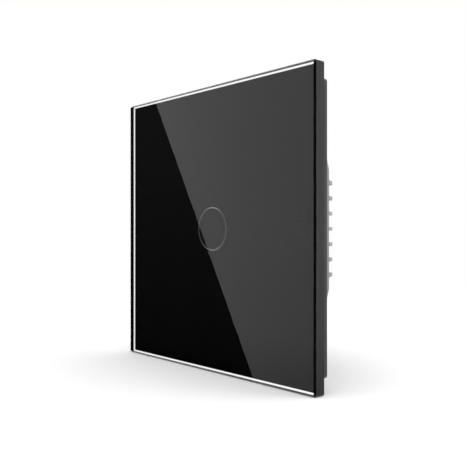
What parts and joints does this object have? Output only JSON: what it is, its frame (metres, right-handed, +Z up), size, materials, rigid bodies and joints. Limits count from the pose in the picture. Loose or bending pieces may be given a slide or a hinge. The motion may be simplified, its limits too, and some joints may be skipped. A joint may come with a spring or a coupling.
{
  "type": "touch light switch",
  "caption": "Square black glass touch switch with a ring-marked sensor, on a steel frame with a ribbed-shoulder rear housing for a round wall box.",
  "frame": {"origin": "centre of the wall plane, which is the rear face of the mounting frame", "axes": "+Y into the wall, glass facing -Y, +Z up, +X to the right seen from the front"},
  "size_m": [0.08, 0.0339, 0.08],
  "materials": {
    "clear_glass": "polished, ground edges",
    "black_print": "opaque black",
    "white_plastic": "moulded",
    "tape": "foam tape",
    "dark_plastic": "fine moulded grain",
    "sheet_steel": "zinc plated",
    "light_plastic": "fine moulded grain",
    "frosted_plastic": "frosted",
    "sensor_rubber": "conductive",
    "circuit_board": "lacquered",
    "chip_plastic": "moulded",
    "gold_pins": "plated",
    "insulation": "pressed sheet",
    "terminal_plastic": "moulded",
    "plated_steel": "nickel plated",
    "brass_parts": "rolled",
    "relay_plastic": "moulded",
    "iron": "plated",
    "copper_wire": "enamelled",
    "can": "sleeved",
    "film_block": "moulded",
    "ferrite": "sintered",
    "varistor_coat": "coated"
  },
  "bodies": {
    "root": {"mounting_frame": "sheet_steel", "front_cover": "light_plastic", "light_guide": "frosted_plastic", "sensor_pad": "sensor_rubber", "touch_board": "circuit_board", "indicator_lights": "frosted_plastic", "touch_chip": "chip_plastic", "touch_board_parts": "chip_plastic", "link_header": "chip_plastic", "link_pins": "gold_pins", "link_socket": "chip_plastic", "insulating_sheet": "insulation", "rear_housing": "light_plastic", "case_screws": "plated_steel", "power_board": "circuit_board", "relay_base": "relay_plastic", "relay_case": "relay_plastic", "relay_yoke": "iron", "relay_core": "iron", "relay_bobbin": "white_plastic", "relay_winding": "copper_wire", "relay_coil_pins": "gold_pins", "relay_contact_bar": "brass_parts", "relay_fixed_contact": "plated_steel", "film_capacitor": "film_block", "smoothing_capacitor": "can", "choke_core": "ferrite", "choke_winding": "copper_wire", "varistor": "varistor_coat", "fuse": "chip_plastic", "rectifier": "chip_plastic", "regulator": "chip_plastic", "terminal_body_1": "terminal_plastic", "current_bar_1": "brass_parts", "terminal_body_2": "terminal_plastic", "current_bar_2": "brass_parts", "terminal_body_3": "terminal_plastic", "current_bar_3": "brass_parts"},
    "panel": {"glass_panel": "clear_glass", "black_print": "black_print", "ring_centre_print": "black_print", "bonding_tape": "tape", "panel_carrier": "dark_plastic"},
    "armature": {"relay_armature": "iron", "relay_contact_spring": "brass_parts", "relay_moving_contact": "plated_steel"},
    "screw_1": {"terminal_screw_1": "plated_steel"},
    "cage_1": {"terminal_cage_1": "plated_steel"},
    "screw_2": {"terminal_screw_2": "plated_steel"},
    "cage_2": {"terminal_cage_2": "plated_steel"},
    "screw_3": {"terminal_screw_3": "plated_steel"},
    "cage_3": {"terminal_cage_3": "plated_steel"}
  },
  "joints": [
    {"name": "panel_pull", "type": "slide", "parent": "root", "child": "panel", "axis": [0, -1, 0], "range_m": [0, 0.02]},
    {"name": "relay_armature_hinge", "type": "hinge", "parent": "root", "child": "armature", "pos_m": [-0.007, 0.0152, 0.0125], "axis": [0, 0, -1], "range_deg": [0, 4.3], "stiffness_Nm_per_rad": 0.01, "springref_deg": -1.15},
    {"name": "screw_1_turn", "type": "hinge", "parent": "root", "child": "screw_1", "pos_m": [-0.0082, 0.02, -0.017], "axis": [0, -1, 0], "range_deg": [0, 1800]},
    {"name": "cage_1_lift", "type": "slide", "parent": "root", "child": "cage_1", "axis": [0, 1, 0], "range_m": [0, 0.0025]},
    {"name": "screw_2_turn", "type": "hinge", "parent": "root", "child": "screw_2", "pos_m": [0, 0.02, -0.017], "axis": [0, -1, 0], "range_deg": [0, 1800]},
    {"name": "cage_2_lift", "type": "slide", "parent": "root", "child": "cage_2", "axis": [0, 1, 0], "range_m": [0, 0.0025]},
    {"name": "screw_3_turn", "type": "hinge", "parent": "root", "child": "screw_3", "pos_m": [0.0082, 0.02, -0.017], "axis": [0, -1, 0], "range_deg": [0, 1800]},
    {"name": "cage_3_lift", "type": "slide", "parent": "root", "child": "cage_3", "axis": [0, 1, 0], "range_m": [0, 0.0025]}
  ],
  "couplings": [
    {"joint": "screw_1_turn", "follows": "cage_1_lift", "rad_per_m": 12566},
    {"joint": "screw_2_turn", "follows": "cage_2_lift", "rad_per_m": 12566},
    {"joint": "screw_3_turn", "follows": "cage_3_lift", "rad_per_m": 12566}
  ]
}
